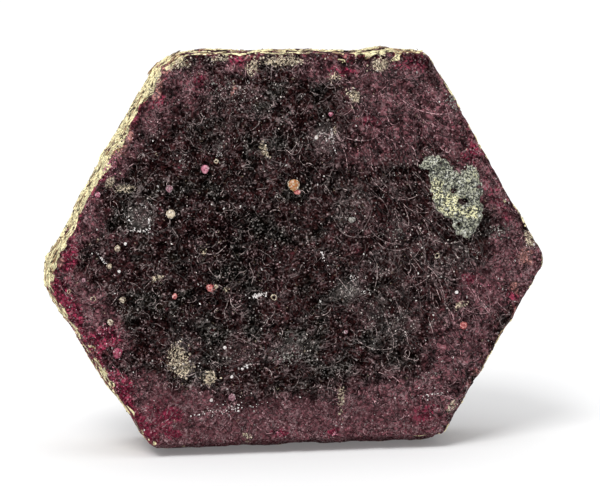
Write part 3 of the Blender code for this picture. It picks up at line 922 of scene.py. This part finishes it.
def add_rock_patch(bm, solid):
    """The patch of granular host rock, a thin shell that stands proud and dips into the face."""
    count = int(2.0 * ROCK_HALF / ROCK_STEP)
    middle = Matrix.Translation((ROCK_MIDDLE[0], 0.0, ROCK_MIDDLE[1]))
    upright = Matrix.Rotation(math.radians(90.0), 4, "X")
    bmesh.ops.create_grid(bm, x_segments=count, y_segments=count, size=ROCK_HALF, matrix=middle @ upright)
    yellow = bm.verts.layers.float.new("yellow")
    deep = bm.verts.layers.float.new("pit")
    hem = bm.verts.layers.float.new("hem")
    outside = []
    for vert in bm.verts:
        place = Vector((vert.co.x, 0.0, vert.co.z))
        ragged = place + 0.26 * noise.noise_vector(place / 0.6) + 0.14 * noise.noise_vector(place / 0.2)
        in_by = inside_rock(ragged)
        hit, _ = face_hit(solid, place.x, place.z)
        if in_by < -0.12 or hit is None:
            outside.append(vert)
            continue
        grainy = 0.2 * noise.noise(place / 0.19) + 0.14 * noise.fractal(place / 0.5, 0.7, 2.2, 3)
        pit = in_spots(place + 0.1 * noise.noise_vector(place / 0.2), ROCK_PITS)
        proud = -ROCK_SUNK + (ROCK_PROUD + ROCK_SUNK + grainy) * ease((in_by + 0.12) / 0.5)
        vert.co.y = hit.y - proud + 0.5 * pit
        vert[yellow] = in_spots(ragged, ROCK_YELLOWS)
        vert[deep] = pit
        vert[hem] = ease(1.0 - abs(in_by - 0.02) / 0.16)
    bmesh.ops.delete(bm, geom=outside, context="VERTS")
    behind = points_of(bmesh.ops.extrude_face_region(bm, geom=bm.faces[:]))
    bmesh.ops.translate(bm, vec=(0.0, 0.5, 0.0), verts=behind)
    bmesh.ops.recalc_face_normals(bm, faces=bm.faces[:])


class Value:
    """A number, a place or a colour that a finish works out. Each method gives what it makes of it."""

    def __init__(self, finish, socket):
        self.finish = finish
        self.socket = socket

    def worked(self, operation, other=0.0):
        """The result of one step of arithmetic."""
        return self.finish.add("ShaderNodeMath", {0: self, 1: other}, operation=operation)

    def __add__(self, other):
        return self.worked("ADD", other)

    def __sub__(self, other):
        return self.worked("SUBTRACT", other)

    def __mul__(self, other):
        return self.worked("MULTIPLY", other)

    def __pow__(self, other):
        return self.worked("POWER", other)

    def __abs__(self):
        return self.worked("ABSOLUTE")

    def most(self, *others):
        """The greatest of this value and the others."""
        greatest = self
        for other in others:
            greatest = greatest.worked("MAXIMUM", other)
        return greatest

    def held(self):
        """The value, held between 0 and 1."""
        return self.finish.add("ShaderNodeClamp", {"Value": self})

    def spread(self, gain):
        """How far a value from 0 to 1 lies off its middle, times a gain."""
        return (self - 0.5) * gain

    def ramp(self, low, high, start=0.0, end=1.0):
        """The value eased from start at low to end at high, and held beyond them."""
        inputs = {"Value": self, "From Min": low, "From Max": high, "To Min": start, "To Max": end}
        return self.finish.add("ShaderNodeMapRange", inputs, interpolation_type="SMOOTHSTEP")

    def stretched(self, turn, stretch):
        """The place with everything drawn out along one way of the face."""
        inputs = {"Vector": self, "Rotation": (0.0, math.radians(turn), 0.0), "Scale": stretch}
        return self.finish.add("ShaderNodeMapping", inputs, vector_type="TEXTURE")

    def curled(self, size, reach):
        """The place pushed about by a soft swirl of this size."""
        inputs = {"Vector": self, "Scale": 1.0 / size, "Detail": 1.0}
        inputs = {0: self.finish.add("ShaderNodeTexNoise", inputs, "Color"), 1: (0.5, 0.5, 0.5)}
        centred = self.finish.add("ShaderNodeVectorMath", inputs, operation="SUBTRACT")
        inputs = {0: centred, 1: (2.0 * reach,) * 3, 2: self}
        return self.finish.add("ShaderNodeVectorMath", inputs, operation="MULTIPLY_ADD")

    def grain(self, size, detail=2.0, roughness=0.5):
        """Cloudy value from 0 to 1 over a place, with spots of this size."""
        inputs = {"Vector": self, "Scale": 1.0 / size, "Detail": detail, "Roughness": roughness}
        return self.finish.add("ShaderNodeTexNoise", inputs, "Fac")

    def threads(self, size, width):
        """Thin lines that wander over the surface about a size apart, 1 on the line."""
        return abs(self.grain(size, 1.0, 0.4) - 0.5).ramp(width, 0.0)

    def grit(self, size, sharpness=1.0):
        """A value of its own for each tiny cell of this size, the more seldom high the sharper it is."""
        cells = self.finish.add("ShaderNodeTexVoronoi", {"Vector": self, "Scale": 1.0 / size}, "Color")
        return self.finish.add("ShaderNodeSeparateColor", {"Color": cells}) ** sharpness

    def blend(self, first, second):
        """A colour that goes from the first to the second by this share."""
        return self.finish.add("ShaderNodeMix", {0: self, 6: first, 7: second}, 2, data_type="RGBA")

    def scaled(self, factor):
        """The colour made darker or lighter by a factor."""
        return self.finish.add("ShaderNodeVectorMath", {0: self, "Scale": factor}, operation="SCALE")

    def bump(self, depth, strength=1.0):
        """The normal of a surface whose height runs over this depth in millimetres."""
        inputs = {"Height": self, "Distance": depth * MM, "Strength": strength}
        return self.finish.add("ShaderNodeBump", inputs)


class Finish:
    """A material while it is mixed."""

    def __init__(self, name):
        self.material = bpy.data.materials.new(name)
        self.material.use_nodes = True
        self.tree = self.material.node_tree

    def feed(self, socket, value):
        """Links a value to a socket, or sets the socket to a plain number, place or colour."""
        if isinstance(value, Value):
            self.tree.links.new(value.socket, socket)
        elif socket.type == "RGBA":
            socket.default_value = (*value, 1.0)
        else:
            socket.default_value = value

    def add(self, kind, inputs, output=0, **settings):
        """What a new node of this kind makes of its inputs."""
        node = self.tree.nodes.new(kind)
        for setting, value in settings.items():
            setattr(node, setting, value)
        for name, value in inputs.items():
            self.feed(node.inputs[name], value)
        return Value(self, node.outputs[output])

    def crystal_place(self):
        """The place on the piece in the crystal's own frame, in millimetres."""
        inputs = {
            "Vector": self.add("ShaderNodeTexCoord", {}, "Object"),
            "Location": TO_CRYSTAL.to_translation(),
            "Rotation": (LEAN, 0.0, 0.0),
            "Scale": (1.0 / MM, 1.0 / MM, 1.0 / MM),
        }
        return self.add("ShaderNodeMapping", inputs)

    def noted(self, name):
        """A value noted on the points of the mesh."""
        return self.add("ShaderNodeAttribute", {}, "Fac", attribute_name=name)

    def each_its_own(self):
        """A value from 0 to 1 that differs from grain to grain."""
        return self.add("ShaderNodeNewGeometry", {}, "Random Per Island")

    def done(self, **sockets):
        """The material, once the shader's sockets have what they are given here by name."""
        shader = self.tree.nodes["Principled BSDF"]
        for name, value in sockets.items():
            self.feed(shader.inputs[name.replace("_", " ").title().replace("Ior", "IOR")], value)
        return self.material


def ruby_patterns(finish):
    """What the parts of the rough ruby's finish share: the values noted on its points, and patterns."""
    ruby = SimpleNamespace(**{name: finish.noted(name) for name in SURFACE_NOTES})
    place = ruby.place = finish.crystal_place()
    ruby.swirled = place.curled(0.5, 0.2)
    ruby.slanted = place.curled(0.9, 0.12).stretched(THREAD_SLANT, (5.0, 1.0, 0.9))
    round_dust, long_dust = place.grain(0.32, 2.0, 0.7), ruby.slanted.grain(0.34, 2.0, 0.7)
    ruby.dust = ruby.aslant.ramp(0.0, 1.0, round_dust, long_dust)
    ruby.mottle = place.curled(1.5, 0.5).grain(1.0, 3.0, 0.6)
    ruby.tufts = place.grain(1.5, 2.0, 0.6)
    ruby.crumb = place.curled(0.2, 0.06).grit(0.18)
    ruby.tangle = place.curled(0.35, 0.14).threads(0.42, 0.045)
    layered = place.curled(1.2, 0.25).stretched(0.0, (2.4, 0.45, 2.4))
    ruby.layers = layered.grain(0.8, 4.0, 0.7)
    ruby.brown = place.grain(3.4).ramp(0.37, 0.55).most(ruby.aslant * 0.85)
    ruby.rough = ruby.calm.ramp(0.1, 0.7, 1.0, 0.0)
    return ruby


def ruby_unevenness(ruby):
    """How much lighter or darker the ruby is than its colour, as an exponent, with painted shade in the pits
    and painted light on the ridges of its relief; least where it is calm.
    """
    # The ridge term paints shade into the pits and light onto the ridges of the relief; dust, mottle and
    # tufts are uneven tone
    coarse_tone_and_relief_shade = ruby.dust.spread(5.0) + ruby.mottle.spread(4.5) + ruby.tufts.spread(3.0) + ruby.ridge * 0.5
    coarse_tone_and_relief_shade = coarse_tone_and_relief_shade * ruby.glow.ramp(0.1, 0.8, 1.0, 0.7) * ruby.rough.ramp(0.0, 1.0, 0.4, 1.0)
    fine = ruby.crumb.spread(2.8) * ruby.rough.ramp(0.0, 1.0, 0.6, 1.0)
    return (coarse_tone_and_relief_shade + fine - ruby.rough * 0.33).worked("MINIMUM", 1.3)


def ruby_ground(ruby):
    """The ruby itself: near black or brown, dusky wine red where it glows, crimson or rusty by place, with
    painted shade in its hollows and round its sunk grains.
    """
    patches = ruby.tufts.spread(0.9) * ruby.rough * ruby.glow
    patchy = ruby.glow + ruby.mottle.spread(0.7) + patches
    dusky = patchy.ramp(0.0, 0.85) ** 1.6
    colour = dusky.blend(ruby.brown.blend(CORE, CORE_BROWN), DUSKY)
    vivid = ruby.crimson + ruby.mottle.spread(1.0)
    colour = vivid.ramp(0.1, 0.65).blend(colour, CRIMSON)
    rusty = ruby.rust + ruby.mottle.spread(1.6)
    colour = rusty.ramp(0.4, 0.9).blend(colour, RUST)
    colour = colour.scaled(ruby_unevenness(ruby).worked("EXPONENT"))
    # Darker by the black note: the face's own black parts, and painted shade round its sunk grains
    return colour.scaled(ruby.black.ramp(0.0, 1.0, 1.0, 0.3))


def thread_felt(ruby):
    """The felt of fine pale threads on the ruby, partly painted glints off its fine ridges: frizz, loops and
    wisps, aslant or in waves by place.
    """
    loops = ruby.swirled.threads(0.75, 0.03) * ruby.place.grain(0.8, 1.0).ramp(0.47, 0.55)
    wisps = ruby.place.curled(0.9, 0.4).threads(1.3, 0.02) * ruby.mottle.ramp(0.44, 0.56)
    slant = ruby.slanted.threads(0.6, 0.035) * ruby.mottle.ramp(0.42, 0.56, 0.2, 1.5) * ruby.aslant
    waves = ruby.swirled.stretched(-6.0, (2.6, 1.0, 0.8)).threads(0.7, 0.035) * ruby.waves
    tangled = ruby.veil + ruby.mottle.spread(1.2)
    frizz = ruby.tangle * tangled.ramp(0.05, 0.5, ruby.glow.ramp(0.1, 0.8, 0.06, 0.8), 1.1)
    frizz = frizz * ruby.veil.ramp(0.4, 0.9, 1.0, 2.2)
    felt = frizz.most(loops, wisps, slant, waves)
    for strength in (
        ruby.crumb.ramp(0.0, 1.0, 0.6, 1.2),
        ruby.tufts.ramp(0.44, 0.6, 0.2, 1.5),
        ruby.crimson.ramp(0.2, 0.9, 1.0, 0.3),
        ruby.aslant.ramp(0.2, 1.0, 1.0, 0.5),
        ruby.black.ramp(0.2, 1.0, 1.0, 0.3),
        ruby.glow.ramp(0.2, 0.9, 1.0, 2.1),
    ):
        felt = felt * strength
    return felt


def veil_edge(ruby):
    """The thin speckled outline of the stronger veils."""
    return abs(ruby.veil - 0.24).ramp(0.035, 0.0) * ruby.crumb.ramp(0.2, 0.9, 0.0, 1.2)


def veil_haze(ruby):
    """The pale haze of the veils, with a glassy speckle in the strongest of them."""
    haze = ruby.veil.ramp(0.1, 0.9, 0.0, 0.03) * ruby.dust.ramp(0.36, 0.6, 0.1, 2.0)
    return haze + ruby.veil.ramp(0.4, 0.9, 0.0, 0.08) * ruby.crumb.ramp(0.0, 1.0, 0.1, 1.7)


def with_cream(ruby, colour):
    """The colour with the cream heaps over it, as pale curls on a darker ground."""
    tone = ruby.dust.ramp(0.44, 0.54).blend(*GRAIN_TONES["cream"])
    tone = tone.scaled(ruby.tangle.ramp(0.1, 0.7, 0.75, 1.4))
    tone = tone.scaled(ruby.crumb.ramp(0.0, 1.0, 0.15, 1.5))
    crumbly = ruby.cream * 0.7 + ruby.place.grain(0.42, 3.0, 0.7).spread(4.5)
    heaped = crumbly.ramp(0.7, 0.9) * ruby.tangle.ramp(0.05, 0.5, 0.6, 1.0)
    return heaped.blend(colour, tone)


def with_crust(ruby, colour):
    """The colour with the torn layers of mica crust over it."""
    mica = ruby.layers.ramp(0.4, 0.5).blend(MICA_OCHRE, MICA_CREAM)
    mica = mica.scaled(ruby.crumb.ramp(0.0, 1.0, 0.6, 1.2))
    holes = ruby.place.grain(0.5, 3.0, 0.7)
    mica = holes.ramp(0.54, 0.6, 0.0, 0.95).blend(mica, MICA_SHADE)
    torn = ruby.crust + ruby.layers.spread(1.4)
    return torn.ramp(0.45, 0.58).blend(colour, mica)


def rough_ruby():
    """Dark ruby with fine pale threads and painted white glints, wine red to magenta where it glows, mica
    crust on its sides.
    """
    finish = Finish("rough_ruby")
    ruby = ruby_patterns(finish)
    # Painted glints: tiny bright cells painted into the colour where the rough face would catch the key light
    painted_sparks = ruby.place.grit(0.13, 20.0) * ruby.mottle.ramp(0.35, 0.65, 0.4, 1.8)
    felt = thread_felt(ruby).most(veil_edge(ruby)) * 0.36 + painted_sparks * 0.6
    pink = ruby.glow.ramp(0.0, 0.5).most(ruby.brown * 0.75)
    threaded = felt + veil_haze(ruby)
    colour = threaded.blend(ruby_ground(ruby), pink.blend(THREAD, THREAD_PINK))
    height = felt * 2.0 + ruby.dust + ruby.crumb * 0.4 + ruby.layers * ruby.crust * 1.5
    return finish.done(
        base_color=with_crust(ruby, with_cream(ruby, colour)),
        roughness=ruby.dust.ramp(0.3, 0.7, 0.3, 0.6),
        specular_ior_level=(felt * 0.8).held(),
        normal=height.bump(0.13, 0.9),
    )


def grain_finish(tone):
    """A mineral grain: its own shade of the tone, mottled, with painted white highlights and a soft gloss."""
    finish = Finish(tone + "_grain")
    place = finish.crystal_place()
    spots = place.grain(0.16, 2.0, 0.7)
    share = finish.each_its_own().ramp(0.0, 1.0, 0.15, 0.85) + spots.ramp(0.38, 0.62, -0.8, 0.8)
    colour = share.held().blend(*GRAIN_TONES[tone])
    # Painted highlights: tiny white cells painted into the grain's colour as glints
    painted_glints = place.grit(0.14, 10.0) * 0.5
    return finish.done(
        base_color=painted_glints.blend(colour, GRAIN_TONES["white"][0]),
        roughness=spots.ramp(0.3, 0.7, 0.2, 0.5),
        normal=spots.bump(0.05),
    )


def loose_tone(finish, pink):
    """Colour of what lies loose on the ruby: pink by this share, and cream in the cream heaps."""
    in_heap = finish.noted("cream").ramp(0.2, 0.7)
    return in_heap.blend(pink.blend(THREAD, THREAD_PINK), GRAIN_TONES["cream"][0])


def fibre_finish():
    """Pale fibres, pinker where the ruby glows, each with its own brightness and with gaps along it."""
    finish = Finish("pale_fibre")
    aslant = finish.noted("aslant")
    colour = loose_tone(finish, finish.noted("glow").ramp(0.0, 0.6, 0.3, 1.0))
    least = finish.noted("cream").ramp(0.2, 0.7, 0.02, 0.5) + aslant * 0.03
    bright = finish.each_its_own() ** aslant.ramp(0.2, 1.0, 3.0, 2.7) + least
    gaps = finish.crystal_place().grain(0.24, 1.0).ramp(0.38, 0.58, 0.15, 1.5)
    colour = colour.scaled(bright.held()).scaled(gaps)
    return finish.done(base_color=colour, roughness=0.5, specular_ior_level=0.2)


def crumb_finish():
    """Pale crumbs, greyish on the dark ruby and rosy where it glows."""
    finish = Finish("pale_crumb")
    own = finish.each_its_own() ** 2.0
    colour = loose_tone(finish, finish.noted("glow").ramp(0.1, 0.8))
    return finish.done(base_color=colour.scaled(own.ramp(0.0, 1.0, 0.15, 1.6)), roughness=0.4)


def ring_finish():
    """Pale rings with brown spots."""
    finish = Finish("ringed_grain")
    spots = finish.crystal_place().grain(0.14, 2.0, 0.7)
    colour = spots.ramp(0.4, 0.62).blend(*RING_TONES)
    return finish.done(base_color=colour, roughness=0.4, normal=spots.bump(0.04))


def fleck_finish():
    """Flecks from dim rose grey to bright white, most of them dim."""
    finish = Finish("bright_fleck")
    own = finish.each_its_own() ** 4.0
    return finish.done(base_color=own.blend(*FLECK_TONES), roughness=0.35)


def mica_finish():
    """Mica in thin layers: cream, ochre and a little olive brown, with a soft sheen."""
    finish = Finish("mica_scale")
    own = finish.each_its_own()
    colour = own.ramp(0.5, 0.9).blend(MICA_CREAM, MICA_OCHRE)
    colour = own.ramp(0.85, 0.95, 0.0, 0.8).blend(colour, MICA_SHADE)
    spots = finish.crystal_place().grain(0.3, 3.0, 0.6)
    colour = colour.scaled(spots.ramp(0.4, 0.56, 0.5, 1.25))
    return finish.done(base_color=colour, roughness=0.35, normal=spots.bump(0.03))


def rock_finish():
    """Granular host rock: grey-green, yellow in its middle, with white and dark grains, and painted shade in
    its pits.
    """
    finish = Finish("host_rock")
    place = finish.crystal_place()
    grains = place.grain(0.26, 2.0, 0.7)
    yellow = finish.noted("yellow") + place.grain(0.7, 3.0, 0.6).spread(2.0)
    colour = yellow.ramp(0.3, 0.8).blend(ROCK_GREY, ROCK_CREAM)
    uneven = place.grit(0.13).spread(6.5) + grains.spread(5.0)
    colour = colour.scaled(uneven.worked("MINIMUM", 1.05).worked("EXPONENT"))
    colour = place.grit(0.14, 7.0).blend(colour, ROCK_WHITE)
    hem = finish.noted("hem") * grains.ramp(0.44, 0.54) * 0.5
    colour = hem.blend(colour, ROCK_WHITE)
    specks = place.grain(0.22, 1.0, 0.6).ramp(0.57, 0.6)
    return finish.done(
        # Dark specks are the rock's own dark grains; its pits are painted dark as shade
        base_color=specks.most(finish.noted("pit")).blend(colour, ROCK_DARK_AND_PIT_SHADE),
        roughness=grains.ramp(0.3, 0.7, 0.5, 0.8),
        normal=grains.bump(0.1),
    )


def floor_finish():
    """Plain pale floor that glows very faintly, so that it stays even."""
    return Finish("pale_floor").done(
        base_color=(0.74, 0.74, 0.74),
        roughness=0.9,
        specular_ior_level=0.1,
        emission_color=(1.0, 1.0, 1.0),
        emission_strength=0.15,
    )


def make_piece(bm, name, material, smooth=True):
    """Turns a finished bmesh in the crystal's frame into an object that rides with the crystal."""
    bm.transform(TO_FRAME)
    low, high = (Vector(corner) for corner in CAD_BOX)
    for vert in bm.verts:
        inside = zip(vert.co, low, high, strict=True)
        vert.co = [max(least, min(most, value)) for value, least, most in inside]
    mesh = as_mesh(bm, name)
    mesh.materials.append(material)
    if smooth:
        mesh.shade_smooth()
    piece = in_scene(name, mesh)
    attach(piece, "root")
    return piece


def make_from(shape, details, name, material, smooth=False):
    """Makes a piece of what a shaping function adds to an empty bmesh."""
    bm = bmesh.new()
    shape(bm, *details)
    return make_piece(bm, name, material, smooth)


def make_floor():
    """A wide pale floor under the crystal."""
    bm = bmesh.new()
    bmesh.ops.create_circle(bm, cap_ends=True, segments=64, radius=FLOOR_RADIUS)
    mesh = as_mesh(bm, "floor")
    mesh.materials.append(floor_finish())
    floor = in_scene("floor", mesh)


def softbox(name, towards, distance, size, power):
    """A square lamp this far from the crystal, on this side of it, that shines at it."""
    lamp = bpy.data.lights.new(name, "AREA")
    lamp.size = size
    lamp.energy = power
    lamp_object = in_scene(name, lamp)
    lamp_object.location = Vector(towards).normalized() * distance + Vector((0.0, 0.0, LAMPS_AIM))
    lamp_object.rotation_euler = Vector(towards).to_track_quat("Z", "Y").to_euler()


def light_studio():
    """A soft key lamp at the upper left front, a wide lamp overhead, and dim surroundings."""
    softbox("key", (-0.44, -0.55, 1.0), distance=3.0, size=1.2, power=52.0)
    softbox("overhead", (0.0, 0.1, 1.0), distance=4.0, size=5.0, power=120.0)
    world = bpy.data.worlds.new("studio")
    world.use_nodes = True
    surroundings = world.node_tree.nodes["Background"]
    surroundings.inputs["Color"].default_value = (0.97, 0.98, 1.0, 1.0)
    surroundings.inputs["Strength"].default_value = 0.4
    bpy.context.scene.world = world
    bpy.context.scene.view_settings.view_transform = "Standard"


def set_camera():
    """A long lens a little to the left of the crystal and a little above it."""
    azimuth, elevation = math.radians(CAMERA_AZIMUTH), math.radians(CAMERA_ELEVATION)
    back = Vector(
        (
            math.sin(azimuth) * math.cos(elevation),
            -math.cos(azimuth) * math.cos(elevation),
            math.sin(elevation),
        )
    )
    lens = bpy.data.cameras.new("camera")
    lens.lens = FOCAL_LENGTH
    lens.sensor_width = 36.0
    lens.clip_start = 0.01
    camera = in_scene("camera", lens)
    camera.location = Vector(CAMERA_TARGET) * MM + back * (CAMERA_DISTANCE * MM)
    camera.rotation_euler = back.to_track_quat("Z", "Y").to_euler()
    bpy.context.scene.camera = camera


set_camera()
light_studio()
make_floor()

crystal = fine_crystal()
dress_surface(crystal)
solid = BVHTree.FromBMesh(crystal)
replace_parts(make_piece(crystal, "rough_ruby_crystal", rough_ruby()), "ruby_crystal")
make_from(add_rock_patch, (solid,), "host_rock_patch", rock_finish(), smooth=True)

dice = random.Random(61)
for tone in GRAIN_TONES:
    make_from(add_grains, (solid, dice, tone), tone + "_grains", grain_finish(tone))
make_from(add_scales, (solid, dice), "mica_scales", mica_finish())
make_from(add_flecks, (solid, dice), "bright_flecks", fleck_finish())
make_from(add_fibres, (solid, dice), "pale_fibres", fibre_finish(), smooth=True)
make_from(add_crumbs, (solid, dice), "pale_crumbs", crumb_finish())
make_from(add_rings, (solid,), "ringed_grains", ring_finish(), smooth=True)
